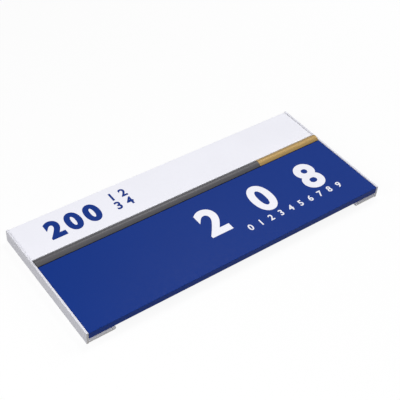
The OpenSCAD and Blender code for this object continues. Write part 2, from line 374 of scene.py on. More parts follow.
def jaw_section():
    """A clip's jaw about the middle of the rail's lip: a bridge with an arm and a hook."""
    s = sizes()
    low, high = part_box("header_clip_left_lower")
    lip_z = s.base_lift + s.lip_r
    bore_r = s.lip_r + s.clip_gap
    arm = bore_r + s.jaw
    half = (high.x - low.x) / 2
    bridge_z = lip_z + bore_r
    arm_z = s.base_lift + s.base + s.clip_gap
    hook_z = lip_z - s.hook
    start = 180 - math.degrees(math.asin((arm_z - lip_z) / bore_r))
    end = math.degrees(math.asin((hook_z - lip_z) / bore_r))
    outline = [
        (-half, bridge_z),
        (-arm, bridge_z),
        (-arm, arm_z),
        *arc((0.0, lip_z), bore_r, start, end),
        (arm, hook_z),
        (arm, bridge_z),
        (half, bridge_z),
        (half, clip_top()),
        (-half, clip_top()),
    ]
    return [outline]


def clip_foot_section():
    """A clip's foot in its track, which reaches down into the jaw's bridge."""
    s = sizes()
    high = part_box("header_clip_left_lower")[1]
    shelf = clip_top() + s.track_lip + 2 * s.clip_gap
    neck = s.track_mouth / 2 - s.clip_gap
    wide = s.track / 2 - s.clip_gap
    bottom = clip_top() - s.jaw / 2
    right = [(neck, bottom), (neck, shelf), (wide, shelf), (wide, high.z)]
    return [right + mirrored(reversed(right))]


def tape_section(side):
    """The foam tape's outline across, with cut sides that draw in."""
    low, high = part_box(side + "_tape")
    waist = sizes().tape_waist
    rises = [i / FOAM_STEPS for i in range(FOAM_STEPS + 1)]
    sides = [(waist * math.sin(math.pi * t), low.z + (high.z - low.z) * t) for t in rises]
    right = [(high.x - inward, z) for inward, z in sides]
    left = [(low.x + inward, z) for inward, z in reversed(sides)]
    return [right + left]


def liner_outline(side):
    """The liner's outline from above, with its round pull tab."""
    low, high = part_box(side + "_liner")
    tape_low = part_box(side + "_tape")[0]
    middle = (low.x + high.x) / 2
    tab_r = (high.x - low.x) * TAB_SHARE
    outline = [
        (low.x, tape_low.y),
        (middle - tab_r, tape_low.y),
        *arc((middle, low.y + tab_r), tab_r, 180, 360),
        (middle + tab_r, tape_low.y),
        (high.x, tape_low.y),
        (high.x, high.y),
        (low.x, high.y),
    ]
    return [outline]


# Meshes that the trees start from


def linked(name, data):
    made = bpy.data.objects.new(name, data)
    bpy.context.scene.collection.objects.link(made)
    return made


def drawn(name, loops):
    """An object with the loops' edges, for a tree to fill and stretch."""
    points, edges = [], []
    for loop in loops:
        first, count = len(points), len(loop)
        points += [(a, b, 0.0) for a, b in loop]
        edges += [(first + i, first + (i + 1) % count) for i in range(count)]
    mesh = bpy.data.meshes.new(name)
    mesh.from_pydata(points, edges, [])
    return linked(name, mesh)


def ringed(name, rings):
    """A closed object from rings of points, from the lowest to the highest and all of one count."""
    count = len(rings[0])
    points = [p for ring in rings for p in ring]
    faces = [tuple(reversed(range(count)))]
    for i in range(len(rings) - 1):
        for k in range(count):
            a, b = i * count + k, i * count + (k + 1) % count
            faces.append((a, b, b + count, a + count))
    last = (len(rings) - 1) * count
    faces.append(tuple(range(last, last + count)))
    mesh = bpy.data.meshes.new(name)
    mesh.from_pydata(points, [], faces)
    return linked(name, mesh)


def uneven_ring(radii, z):
    """Points all round the Z axis, one at each radius."""
    turns = [2 * math.pi * k / len(radii) for k in range(len(radii))]
    return [(r * math.cos(t), r * math.sin(t), z) for r, t in zip(radii, turns)]


def ring(radius, z):
    return uneven_ring([radius] * ROUND_STEPS, z)


def door_hole():
    """What the drill takes out for a door screw, countersunk from the front."""
    s = sizes()
    top = s.base_lift + s.base
    wide = s.hole_r + s.hole_csk + PAST
    rings = [
        ring(s.hole_r, s.base_lift - PAST),
        ring(s.hole_r, top - s.hole_csk),
        ring(wide, top + PAST),
    ]
    return ringed("door_hole", rings)


def carrier_hole():
    """What the drill takes out for a carrier screw, countersunk from the back."""
    s = sizes()
    low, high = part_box("carrier_screws")
    wide = (high.y - low.y) / 2 + 2 * (low.z - s.base_lift)
    rings = [
        ring(wide + PAST, s.base_lift - PAST),
        ring(s.screw_hole_r, s.base_lift + wide - s.screw_hole_r),
        ring(s.screw_hole_r, s.base_lift + s.base + PAST),
    ]
    return ringed("carrier_hole", rings)


def screw_blank():
    """A countersunk screw with a real thread, head down, before its slot is cut."""
    s = sizes()
    low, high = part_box("carrier_screws")
    head_r = (high.y - low.y) / 2
    shank_z = low.z + head_r - s.screw_r
    rings = [
        ring(head_r - s.head_break, low.z),
        ring(head_r, low.z + s.head_break),
        ring(s.screw_r, shank_z),
    ]
    steps = round((high.z - shank_z) / s.thread_pitch * THREAD_STEPS)
    for i in range(1, steps + 1):
        share = i / steps
        phases = [(i / THREAD_STEPS - k / ROUND_STEPS) % 1.0 for k in range(ROUND_STEPS)]
        radii = [s.screw_r - s.thread_depth * abs(2.0 * phase - 1.0) for phase in phases]
        rings.append(uneven_ring(radii, shank_z + (high.z - shank_z) * share))
    return ringed("screw_blank", rings)


# Geometry node trees

CUT_END = "cut_end"
GEOMETRY, FLOAT, VECTOR = "NodeSocketGeometry", "NodeSocketFloat", "NodeSocketVector"
MATERIAL, OBJECT = "NodeSocketMaterial", "NodeSocketObject"
BAR_INPUTS = {"Section": GEOMETRY, "Length": FLOAT, "Turn": VECTOR, "Place": VECTOR}
FINISH_INPUTS = {"Coat": MATERIAL, "Cut": MATERIAL}


def add(tree, kind, feeds=None, **settings):
    """Adds a node, sets its options, and feeds its inputs with nodes, sockets or plain values."""
    made = tree.nodes.new(kind)
    for key, value in settings.items():
        setattr(made, key, value)
    for key, value in (feeds or {}).items():
        for one in value if isinstance(value, list) else [value]:
            source = one.outputs[0] if isinstance(one, Node) else one
            if isinstance(source, NodeSocket):
                tree.links.new(source, made.inputs[key])
            else:
                made.inputs[key].default_value = source
    return made


def geo(tree, kind, feeds=None, **settings):
    return add(tree, "GeometryNode" + kind, feeds, **settings)


def shade(tree, kind, feeds=None, **settings):
    return add(tree, "ShaderNode" + kind, feeds, **settings)


def worked(tree, operation, *values):
    return shade(tree, "Math", dict(enumerate(values)), operation=operation)


def xyz(tree, **parts):
    return shade(tree, "CombineXYZ", parts)


def sockets(kind, *labels):
    return dict.fromkeys(labels, kind)


def new_tree(name, *inputs):
    """(tree, its inputs by name), with one geometry output."""
    tree = bpy.data.node_groups.new(name, "GeometryNodeTree")
    tree.interface.new_socket("Geometry", in_out="OUTPUT", socket_type=GEOMETRY)
    for group in inputs:
        for label, kind in group.items():
            tree.interface.new_socket(label, in_out="INPUT", socket_type=kind)
    return tree, tree.nodes.new("NodeGroupInput").outputs


def end_tree(tree, geometry):
    tree.links.new(geometry.outputs[0], tree.nodes.new("NodeGroupOutput").inputs[0])
    return tree


def marked(tree, geometry, value, **feeds):
    """Writes on faces whether the saw or the drill made them."""
    inputs = {"Geometry": geometry, "Name": CUT_END, "Value": value, **feeds}
    return geo(tree, "StoreNamedAttribute", inputs, data_type="BOOLEAN", domain="FACE")


def finished(tree, geometry, given):
    """The last nodes of a tree: real faces, the coat everywhere, and bare metal where it was cut."""
    real = geo(tree, "RealizeInstances", {"Geometry": geometry})
    smooth = geo(tree, "SetShadeSmooth", {"Geometry": real})
    coated = geo(tree, "SetMaterial", {"Geometry": smooth, "Material": given["Coat"]})
    cut = geo(tree, "InputNamedAttribute", {"Name": CUT_END}, data_type="BOOLEAN")
    inputs = {"Geometry": coated, "Selection": cut, "Material": given["Cut"]}
    return end_tree(tree, geo(tree, "SetMaterial", inputs))


def bar_group():
    """Stretches a section into a closed bar, turns it and puts it in place."""
    found = bpy.data.node_groups.get("section_bar")
    if found:
        return found
    tree, given = new_tree("section_bar", BAR_INPUTS)
    outline = geo(tree, "MeshToCurve", {"Mesh": given["Section"]})
    cap = marked(tree, geo(tree, "FillCurve", {"Curve": outline}, mode="NGONS"), True)
    along = {"Mesh": cap, "Offset": (0.0, 0.0, 1.0), "Offset Scale": given["Length"], "Individual": False}
    stretched = geo(tree, "ExtrudeMesh", along)
    sides = marked(tree, stretched.outputs["Mesh"], False, Selection=stretched.outputs["Side"])
    base = geo(tree, "FlipFaces", {"Mesh": cap})
    whole = geo(tree, "JoinGeometry", {"Geometry": [sides, base]})
    closed = geo(tree, "MergeByDistance", {"Geometry": whole, "Distance": WELD})
    place = {"Geometry": closed, "Rotation": given["Turn"], "Translation": given["Place"]}
    return end_tree(tree, geo(tree, "Transform", place))


def bar(tree, section, long, turn, place):
    feeds = {"Section": section, "Length": long, "Turn": turn, "Place": place}
    return geo(tree, "Group", feeds, node_tree=bar_group())


def plain_bar(tree, given):
    return bar(tree, *[given[label] for label in BAR_INPUTS])


def cut_out(tree, geometry, cutters):
    """Takes the cutters out of the geometry, and marks the faces that they leave."""
    inputs = {"Mesh 1": geometry, "Mesh 2": [marked(tree, cutter, True) for cutter in cutters]}
    return geo(tree, "MeshBoolean", inputs, operation="DIFFERENCE", solver="EXACT")


def in_row(tree, shape, start, step):
    """The shape twice, at a place and a step further on."""
    line = geo(tree, "MeshLine", {"Count": 2, "Start Location": start, "Offset": step})
    copies = geo(tree, "InstanceOnPoints", {"Points": line, "Instance": shape})
    return geo(tree, "RealizeInstances", {"Geometry": copies})


def both_ends(tree, shape, place):
    """The shape twice, at a place and at the same place on the other side of the middle."""
    parts = shade(tree, "SeparateXYZ", {"Vector": place})
    step = xyz(tree, X=worked(tree, "MULTIPLY", parts.outputs["X"], -2.0))
    return in_row(tree, shape, place, step)


def bar_tree():
    found = bpy.data.node_groups.get("finished_bar")
    if found:
        return found
    tree, given = new_tree("finished_bar", BAR_INPUTS, FINISH_INPUTS)
    return finished(tree, plain_bar(tree, given), given)


def rail_tree():
    """A rail: its bar, with two door screw holes in a row and the carrier screw's hole."""
    drills = sockets(OBJECT, "Door Hole", "Carrier Hole")
    places = sockets(VECTOR, "First Hole", "Hole Step", "Carrier Place")
    tree, given = new_tree("drilled_rail", BAR_INPUTS, FINISH_INPUTS, drills, places)
    door = geo(tree, "ObjectInfo", {"Object": given["Door Hole"]}).outputs["Geometry"]
    carrier = geo(tree, "ObjectInfo", {"Object": given["Carrier Hole"]}).outputs["Geometry"]
    cutters = [
        in_row(tree, door, given["First Hole"], given["Hole Step"]),
        geo(tree, "Transform", {"Geometry": carrier, "Translation": given["Carrier Place"]}),
    ]
    return finished(tree, cut_out(tree, plain_bar(tree, given), cutters), given)


def carrier_tree():
    """The carrier: its bar, with notches over the rails' ledges and lips and two screw bores."""
    notches = sockets(VECTOR, "Ledge Notch", "Ledge Place", "Lip Notch", "Lip Place", "Bore Place")
    bores = sockets(FLOAT, "Bore Radius", "Bore Depth")
    tree, given = new_tree("notched_carrier", BAR_INPUTS, FINISH_INPUTS, notches, bores)
    drill = {"Vertices": ROUND_STEPS, "Radius": given["Bore Radius"], "Depth": given["Bore Depth"]}
    cutters = [
        both_ends(tree, geo(tree, "MeshCube", {"Size": given["Ledge Notch"]}), given["Ledge Place"]),
        both_ends(tree, geo(tree, "MeshCube", {"Size": given["Lip Notch"]}), given["Lip Place"]),
        both_ends(tree, geo(tree, "MeshCylinder", drill), given["Bore Place"]),
    ]
    return finished(tree, cut_out(tree, plain_bar(tree, given), cutters), given)


def clip_tree():
    """Four like clips: a jaw on a foot, at the corners of a grid, the right-hand ones turned round."""
    shapes = {"Section": GEOMETRY, "Foot Section": OBJECT, "Middle": VECTOR}
    lengths = sockets(FLOAT, "Jaw Length", "Foot Length", "Across", "Up")
    tree, given = new_tree("clip_set", shapes, lengths, FINISH_INPUTS)
    jaw_place = xyz(tree, Y=worked(tree, "MULTIPLY", given["Jaw Length"], 0.5))
    foot_place = xyz(tree, X=worked(tree, "MULTIPLY", given["Foot Length"], -0.5))
    foot_section = geo(tree, "ObjectInfo", {"Object": given["Foot Section"]}).outputs["Geometry"]
    whole = [
        bar(tree, given["Section"], given["Jaw Length"], TURNS["y"], jaw_place),
        bar(tree, foot_section, given["Foot Length"], TURNS["x"], foot_place),
    ]
    clip = geo(tree, "MeshBoolean", {"Mesh 2": whole}, operation="UNION", solver="EXACT")
    corners = {"Size X": given["Across"], "Size Y": given["Up"], "Vertices X": 2, "Vertices Y": 2}
    grid = geo(tree, "MeshGrid", corners)
    spread = geo(tree, "Transform", {"Geometry": grid, "Translation": given["Middle"]})
    place = shade(tree, "SeparateXYZ", {"Vector": geo(tree, "InputPosition")})
    right = worked(tree, "GREATER_THAN", place.outputs["X"], 0.0)
    turned = xyz(tree, Z=worked(tree, "MULTIPLY", right, math.pi))
    copies = {"Points": spread, "Instance": clip, "Rotation": turned}
    return finished(tree, geo(tree, "InstanceOnPoints", copies), given)


def screw_tree():
    """The carrier screws: a cross slot cut in the blank's head, and a copy at each end of the carrier."""
    lengths = sockets(FLOAT, "Slot Width", "Slot Length", "Slot Depth", "Head Height")
    tree, given = new_tree("screw_pair", {"Blank": GEOMETRY, "Place": VECTOR}, lengths, FINISH_INPUTS)
    tall = worked(tree, "MULTIPLY", given["Slot Depth"], 2.0)
    lift = xyz(tree, Z=given["Head Height"])
    cutters = []
    for along, across in ("XY", "YX"):
        size = xyz(tree, **{along: given["Slot Length"], across: given["Slot Width"], "Z": tall})
        block = geo(tree, "MeshCube", {"Size": size})
        cutters.append(geo(tree, "Transform", {"Geometry": block, "Translation": lift}))
    screw = cut_out(tree, given["Blank"], cutters)
    return finished(tree, both_ends(tree, screw, given["Place"]), given)


def set_tree(host, tree, values):
    """Puts the tree on the host, with its inputs set by their identifiers."""
    modifier = host.modifiers.new(tree.name, "NODES")
    modifier.node_group = tree
    known = {i.name: i.identifier for i in tree.interface.items_tree if i.in_out == "INPUT"}
    for label, value in values.items():
        modifier[known[label]] = value
    return host


def bar_host(node, loops, axis, coat, cut, tree=None, more=None):
    """A host for a bar as long as the node along an axis, with a plain bar's tree or one that takes more."""
    low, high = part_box(node)
    starts = {"x": (low.x, 0.0, 0.0), "y": (0.0, high.y, 0.0), "z": (0.0, 0.0, low.z)}
    values = {
        "Length": getattr(high, axis) - getattr(low, axis),
        "Turn": TURNS[axis],
        "Place": starts[axis],
        "Coat": coat,
        "Cut": cut,
        **(more or {}),
    }
    return set_tree(drawn(node + "_section", loops), tree or bar_tree(), values)


def plain_mesh(host):
    """The host's evaluated mesh as a mesh of its own. The host goes."""
    graph = bpy.context.evaluated_depsgraph_get()
    seen = host.evaluated_get(graph)
    mesh = bpy.data.meshes.new_from_object(seen, preserve_all_data_layers=True, depsgraph=graph)
    bpy.data.objects.remove(host)
    return mesh


def check_closed(name, mesh):
    shape = bmesh.new()
    shape.from_mesh(mesh)
    open_edges = sum(not edge.is_manifold for edge in shape.edges)
    volume = shape.calc_volume(signed=True)
    shape.free()
    if open_edges or volume <= 0 or not mesh.polygons:
        raise RuntimeError(f"{name}: {open_edges} open edges, volume {volume}")


def finish_piece(host, name, body, nodes, edge_break=None):
    """Breaks the host's sharp edges and hands its mesh to the frame in place of the CAD nodes."""
    if edge_break:
        bevel = host.modifiers.new("edge_break", "BEVEL")
        bevel.width = edge_break
        bevel.segments = EDGE_STEPS
        bevel.limit_method = "ANGLE"
        bevel.angle_limit = SHARP
        host.modifiers.new("even_faces", "WEIGHTED_NORMAL")
    mesh = plain_mesh(host)
    check_closed(name, mesh)
    mesh.name = name
    made = linked(name, mesh)
    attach(made, body)
    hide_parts(*nodes)
    return made


# Materials

POWDER = {"gloss": 0.35, "rough": 0.47}
PAINT = {"gloss": 0.06, "rough": 0.36}
GREY_SATIN = {"metallic": 0.15, "gloss": 0.2, "rough": 0.38, "lines": 0.05}
GOLD_SATIN = {"metallic": 0.3, "gloss": 0.2, "rough": 0.38, "lines": 0.05}
BLACK_SATIN = {"metallic": 0.2, "gloss": 0.2, "rough": 0.45, "lines": 0.07}
BLUE_FILM_GLOSS = 0.07
WHITE_FILM_GLOSS = 0.3

# Cloud and grain are given by their scale and detail, and tones and roughness from one end to the other
ZINC = {
    "cloud": (380.0, 2.0),
    "grain": (3200.0, 2.0),
    "tones": ((0.9, 0.96, 1.0), (1.0, 0.97, 0.86)),
    "rough": (0.26, 0.42),
    "strength": 0.12,
    "depth": 0.02 * MM,
}
NYLON = {
    "cloud": (180.0, 2.0),
    "grain": (2600.0, 2.0),
    "tones": (0.92, 1.03),
    "rough": (0.42, 0.6),
    "strength": 0.2,
    "depth": 0.03 * MM,
}
FILM = {
    "cloud": (40.0, 3.0),
    "grain": (1500.0, 1.0),
    "tones": (0.97, 1.02),
    "rough": (0.3, 0.42),
    "strength": 0.08,
    "depth": 0.02 * MM,
}

# How far roughness goes up and down from its middle value
COAT_SWING = 0.05
METAL_SWING = 0.07

# Share of the foam's height between its two skins of glue
FOAM_CORE = 0.82


class Finish:
    """A material in the making: patterns on object coordinates feed its tone, roughness and bump."""

    def __init__(self, name, rgb, **constants):
        self.rgb = rgb
        self.made = bpy.data.materials.new(name)
        self.made.use_nodes = True
        self.tree = self.made.node_tree
        self.shader = self.tree.nodes["Principled BSDF"]
        for label, value in constants.items():
            self.shader.inputs[label.replace("_", " ")].default_value = value
        self.place = self.node("TexCoord").outputs["Object"]

    def node(self, kind, feeds=None, **settings):
        return shade(self.tree, kind, feeds, **settings)

    def noise(self, per_metre, detail=2.0):
        """Cloudy values from 0 to 1, with so many clouds to a metre along X, Y and Z, or along all three."""
        even = isinstance(per_metre, float)
        stretch = (1.0, 1.0, 1.0) if even else per_metre
        mapped = self.node("Mapping", {"Vector": self.place, "Scale": stretch})
        inputs = {"Vector": mapped, "Scale": per_metre if even else 1.0, "Detail": detail}
        return self.node("TexNoise", inputs).outputs["Fac"]

    def spread(self, value, low, high, start=0.3, end=0.7):
        """The value between a start and an end, spread from low to high."""
        inputs = {"Value": value, "From Min": start, "From Max": end, "To Min": low, "To Max": high}
        return self.node("MapRange", inputs).outputs["Result"]

    def summed(self, first, second, weight):
        """The first value with a share of the second added to it."""
        return worked(self.tree, "MULTIPLY_ADD", second, weight, first).outputs[0]

    def tint(self, by):
        """The finish's own colour made darker or lighter, by one number or by one for each part."""
        factors = by if isinstance(by, tuple) else (by, by, by)
        return (*[min(1.0, part * factor) for part, factor in zip(self.rgb, factors)], 1.0)

    def blend(self, share, first, second):
        """From the first colour to the second."""
        return self.node("Mix", {0: share, 6: first, 7: second}, data_type="RGBA").outputs[2]

    def done(self, tone, rough, bump, strength, depth):
        """Feeds the shader and gives the material."""
        raised = self.node("Bump", {"Height": bump, "Strength": strength, "Distance": depth})
        for label, source in (("Base Color", tone), ("Roughness", rough), ("Normal", raised.outputs[0])):
            self.tree.links.new(source, self.shader.inputs[label])
        return self.made


def coat(name, rgb, gloss, rough):
    """Baked coat on an extrusion: fine orange peel, a faint cloudiness and a few specks."""
    look = Finish(name, rgb, Specular_IOR_Level=gloss)
    peel = look.noise(620.0, detail=1.0)
    grain = look.noise(2400.0, detail=1.0)
    cloud = look.noise(16.0, detail=3.0)
    speck = look.noise(900.0, detail=4.0)
    clouded = look.blend(look.spread(cloud, 0.0, 1.0), look.tint(0.975), look.tint(1.012))
    dust = look.spread(speck, 0.0, 0.25, start=0.66, end=0.74)
    dusted = look.blend(dust, clouded, look.tint(0.86))
    satin = look.spread(peel, rough - COAT_SWING, rough + COAT_SWING)
    return look.done(dusted, satin, look.summed(peel, grain, 0.35), strength=0.16, depth=0.05 * MM)


def drawn_metal(name, rgb, metallic, gloss, rough, lines):
    """Metal with the die's fine lines along X: the lines vary its tone and its roughness."""
    look = Finish(name, rgb, Metallic=metallic, Specular_IOR_Level=gloss)
    fine = look.noise((9.0, 1500.0, 1500.0))
    broad = look.noise((4.0, 420.0, 420.0))
    cloud = look.noise(30.0)
    streak = look.summed(fine, broad, 0.6)
    share = look.spread(streak, 0.0, 1.0, start=0.55, end=1.05)
    lined = look.blend(share, look.tint(1.0 - lines), look.tint(1.0 + lines))
    clouded = look.blend(look.spread(cloud, 0.0, 0.12), lined, look.tint(0.9))
    satin = look.spread(streak, rough - METAL_SWING, rough + METAL_SWING, start=0.5, end=1.1)
    return look.done(clouded, satin, streak, strength=0.1, depth=0.02 * MM)


def cut_metal(name, rgb):
    """Aluminium as the saw or the drill leaves it, with slanted tool marks."""
    look = Finish(name, rgb, Metallic=0.4)
    waves = {"Vector": look.place, "Scale": 420.0, "Distortion": 3.0, "Detail": 2.0, "Detail Scale": 1.5}
    marks = look.node("TexWave", waves, bands_direction="DIAGONAL").outputs["Fac"]
    share = look.summed(marks, look.noise(240.0, detail=3.0), 0.8)
    tone = look.blend(look.spread(share, 0.0, 1.0, start=0.2, end=1.5), look.tint(0.95), look.tint(1.03))
    rough = look.spread(share, 0.45, 0.57, start=0.2, end=1.5)
    return look.done(tone, rough, share, strength=0.1, depth=0.02 * MM)


def bare_cut():
    name = "sawn_aluminium"
    return bpy.data.materials.get(name) or cut_metal(name, colours().cut_aluminium)


def grained(name, rgb, cloud, grain, tones, rough, strength, depth, **constants):
    """A cloudy tone under a fine grain, for zinc plate, moulded nylon and the numerals' printed film."""
    look = Finish(name, rgb, **constants)
    share = look.spread(look.noise(*cloud), 0.0, 1.0)
    tone = look.blend(share, look.tint(tones[0]), look.tint(tones[1]))
    fine = look.noise(*grain)
    return look.done(tone, look.spread(fine, *rough), fine, strength, depth)


def foam(name, rgb, low_z, high_z):
    """Closed-cell foam between two skins of glue."""
    look = Finish(name, rgb, Specular_IOR_Level=0.25)
    cells = look.node("TexVoronoi", {"Vector": look.place, "Scale": 2300.0}).outputs["Distance"]
    cloud = look.noise(260.0, detail=3.0)
    pores = look.blend(look.spread(cells, 0.0, 1.0, start=0.1, end=0.6), look.tint(0.55), look.tint(1.15))
    mottled = look.blend(look.spread(cloud, 0.0, 0.35), pores, look.tint(0.7))
    z = look.node("SeparateXYZ", {"Vector": look.place}).outputs["Z"]
    middle, half = (low_z + high_z) / 2, (high_z - low_z) / 2
    core = worked(look.tree, "COMPARE", z, middle, half * FOAM_CORE).outputs[0]
    skinned = look.blend(core, look.tint(1.35), mottled)
    rough = look.spread(cells, 0.95, 0.7, start=0.1, end=0.6)
    return look.done(skinned, rough, cells, strength=0.5, depth=0.12 * MM)


def paper(name, rgb):
    """Release paper: faint fibres under a thin silicone shine."""
    look = Finish(name, rgb, Specular_IOR_Level=0.45)
    fibres = look.noise((1400.0, 260.0, 1400.0), detail=3.0)
    share = look.summed(fibres, look.noise(90.0, detail=3.0), 0.8)
    tone = look.blend(look.spread(share, 0.0, 1.0, start=0.6, end=1.2), look.tint(0.88), look.tint(1.05))
    return look.done(tone, look.spread(fibres, 0.36, 0.55), share, strength=0.15, depth=0.03 * MM)


# Operators


class NAMEPLATE_OT_rails(Operator):
    """Build the two coated side rails, drilled for their screws"""

    bl_idname = "nameplate.rails"
    bl_label = "Side rails"

    def execute(self, context):
        s = sizes()
        tree = rail_tree()
        door, carrier = door_hole(), carrier_hole()
        powder = coat("white_rail_coat", colours().white_rail, **POWDER)
        carrier_low, carrier_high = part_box("bead_carrier")
        for side in SIDES:
            node = side + "_rail"
            low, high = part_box(node)
            hole_x = low.x + s.hole_u if side == "left" else high.x - s.hole_u
            first = low.y + s.hole_inset
            holes = {
                "Door Hole": door,
                "Carrier Hole": carrier,
                "First Hole": (hole_x, first, 0.0),
                "Hole Step": (0.0, high.y - s.hole_inset - first, 0.0),
                "Carrier Place": (hole_x, (carrier_low.y + carrier_high.y) / 2, 0.0),
            }
            host = bar_host(node, rail_section(side), "y", powder, bare_cut(), tree, holes)
            finish_piece(host, node + "_coated", "frame", [node], s.edge_break)
        bpy.data.objects.remove(door)
        bpy.data.objects.remove(carrier)
        return {"FINISHED"}


class NAMEPLATE_OT_panels(Operator):
    """Build the header panel and the name panel"""

    bl_idname = "nameplate.panels"
    bl_label = "Panels"

    def execute(self, context):
        c = colours()
        looks = {
            "header": ("white_panel", coat("white_panel_coat", c.white_panel, **POWDER)),
            "name": ("blue_panel", coat("blue_panel_paint", c.blue_panel, **PAINT)),
        }
        for body, (slot, look) in looks.items():
            node = body + "_panel"
            host = bar_host(node, panel_section(node), "x", look, bare_cut())
            finish_piece(host, node + "_coated", body, [node], sizes().edge_break)
        return {"FINISHED"}


class NAMEPLATE_OT_beads(Operator):
    """Build the grey and the gold piece of the bead"""

    bl_idname = "nameplate.beads"
    bl_label = "Bead"

    def execute(self, context):
        c = colours()
        looks = {
            "grey": drawn_metal("grey_anodised_satin", c.grey_anodised, **GREY_SATIN),
            "gold": drawn_metal("gold_anodised_satin", c.gold_anodised, **GOLD_SATIN),
        }
        for tone, look in looks.items():
            node = tone + "_bead"
            host = bar_host(node, bead_section(), "x", look, look)
            finish_piece(host, node + "_anodised", "frame", [node], sizes().edge_break)
        return {"FINISHED"}


class NAMEPLATE_OT_carrier(Operator):
    """Build the carrier that the bead snaps into"""

    bl_idname = "nameplate.carrier"
    bl_label = "Bead carrier"

    def execute(self, context):
        s = sizes()
        low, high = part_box("bead_carrier")
        rail_low, rail_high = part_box("left_rail")
        middle = (low.y + high.y) / 2
        wide = 2 * (high.y - low.y)
        gap = s.notch_gap
        ledge_end = rail_low.x + s.wall + s.ledge + gap
        ledge_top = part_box("name_panel")[0].z - s.ledge_gap + gap
        lip_wide = 2 * (s.lip_r + gap)
        lip_top = s.base_lift + 2 * s.lip_r + gap
        bottom = low.z - PAST
        # Near black as painted shade, for the dark gap beside the bead where the carrier shows through
        look = drawn_metal("black_anodised_satin", colours().black_anodised, **BLACK_SATIN)
        cuts = {
            "Ledge Notch": (ledge_end - low.x + PAST, wide, ledge_top - bottom),
            "Ledge Place": ((ledge_end + low.x - PAST) / 2, middle, (ledge_top + bottom) / 2),
            "Lip Notch": (lip_wide, wide, lip_top - bottom),
            "Lip Place": (rail_high.x - s.lip_r, middle, (lip_top + bottom) / 2),
            "Bore Radius": s.thread_hole_r,
            "Bore Depth": 2 * high.z,
            "Bore Place": (rail_low.x + s.hole_u, middle, high.z),
        }
        host = bar_host("bead_carrier", carrier_section(), "x", look, bare_cut(), carrier_tree(), cuts)
        finish_piece(host, "bead_carrier_drawn", "frame", ["bead_carrier"], s.edge_break)
        return {"FINISHED"}


class NAMEPLATE_OT_screws(Operator):
    """Build the two carrier screws"""

    bl_idname = "nameplate.screws"
    bl_label = "Carrier screws"

    def execute(self, context):
        s = sizes()
        low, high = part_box("carrier_screws")
        head_r = (high.y - low.y) / 2
        look = grained("zinc_plate", colours().zinc_steel, **ZINC, Metallic=1.0)
        values = {
            "Slot Width": s.slot,
            "Slot Length": SLOT_SHARE * head_r,
            "Slot Depth": s.slot_depth,
            "Head Height": low.z,
            "Place": (low.x + head_r, (low.y + high.y) / 2, 0.0),
            "Coat": look,
            "Cut": look,
        }
        host = set_tree(screw_blank(), screw_tree(), values)
        finish_piece(host, "carrier_screw_pair", "frame", ["carrier_screws"])
        return {"FINISHED"}


class NAMEPLATE_OT_clips(Operator):
    """Build the four clips behind each panel"""

    bl_idname = "nameplate.clips"
    bl_label = "Clips"

    def execute(self, context):
        tree = clip_tree()
        look = grained("natural_nylon", colours().nylon, **NYLON, Specular_IOR_Level=0.4)
        foot = drawn("clip_foot_section", clip_foot_section())
        for body in ("header", "name"):
            nodes = [f"{body}_clip_{side}_{row}" for side in SIDES for row in ROWS]
            low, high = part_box(nodes[0])
            last_low, last_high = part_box(nodes[-1])
            middle = (low + high + last_low + last_high) / 4
            values = {
                "Foot Section": foot,
                "Jaw Length": high.y - low.y,
                "Foot Length": high.x - low.x,
                "Across": last_low.x - low.x,
                "Up": last_low.y - low.y,
                "Middle": (middle.x, middle.y, 0.0),
                "Coat": look,
                "Cut": look,
            }
            host = set_tree(drawn(body + "_jaw_section", jaw_section()), tree, values)
            finish_piece(host, body + "_clip_set", body, nodes, sizes().edge_break)
        bpy.data.objects.remove(foot)
        return {"FINISHED"}


class NAMEPLATE_OT_tapes(Operator):
    """Build the foam tapes under the rails and their release liners"""

    bl_idname = "nameplate.tapes"
    bl_label = "Tapes and liners"

    def execute(self, context):
        c = colours()
        low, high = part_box("left_tape")
        soft = foam("grey_foam", c.foam_tape, low.z, high.z)
        waxed = paper("release_paper", c.liner_paper)
        for side in SIDES:
            tape, liner = side + "_tape", side + "_liner"
            host = bar_host(tape, tape_section(side), "y", soft, soft)
            made = finish_piece(host, tape + "_cut", "frame", [tape])
            host = bar_host(liner, liner_outline(side), "z", waxed, waxed)
            finish_piece(host, liner + "_cut", "frame", [liner])
        return {"FINISHED"}


# Each row of numerals: its height's name, the place of its first figure's foot across and up from the
# plate's middle, its pitch, and the extra weight of its strokes as a share of its height
FIGURE_ROWS = {
    "header_figures": ("head_figure", -108.0 * MM, 33.0 * MM, 16.8 * MM, 0.075),
    "block_upper": ("block_figure", -52.5 * MM, 44.5 * MM, 10.5 * MM, 0.045),
    "block_lower": ("block_figure", -52.5 * MM, 33.5 * MM, 10.5 * MM, 0.045),
    "name_figures": ("large_figure", -1.0 * MM, -31.5 * MM, 50.5 * MM, 0.05),
    "row_figures": ("row_figure", 21.0 * MM, -42.5 * MM, 10.3 * MM, 0.03),
}


class NAMEPLATE_OT_numerals(Operator):
    """Put plain numerals on both panels"""

    bl_idname = "nameplate.numerals"
    bl_label = "Numerals"

    def execute(self, context):
        c = colours()
        blue = grained("blue_film", c.blue_panel, **FILM, Specular_IOR_Level=BLUE_FILM_GLOSS)
        white = grained("white_film", c.white_panel, **FILM, Specular_IOR_Level=WHITE_FILM_GLOSS)
        set_figures("header", ("header_figures", "block_upper", "block_lower"), blue)
        set_figures("name", ("name_figures", "row_figures"), white)
        return {"FINISHED"}


def figure_mesh(figure, tall, weight):
    """One figure as a thin film about z = 0, with the middle of its foot at the origin."""
    text = bpy.data.curves.new("figure", "FONT")
    text.body = figure
    text.size = tall / FIGURE_SHARE
    text.offset = weight * tall
    text.extrude = sizes().film / 2
    text.align_x = "CENTER"
    text.resolution_u = FIGURE_STEPS
    return plain_mesh(linked("figure", text))


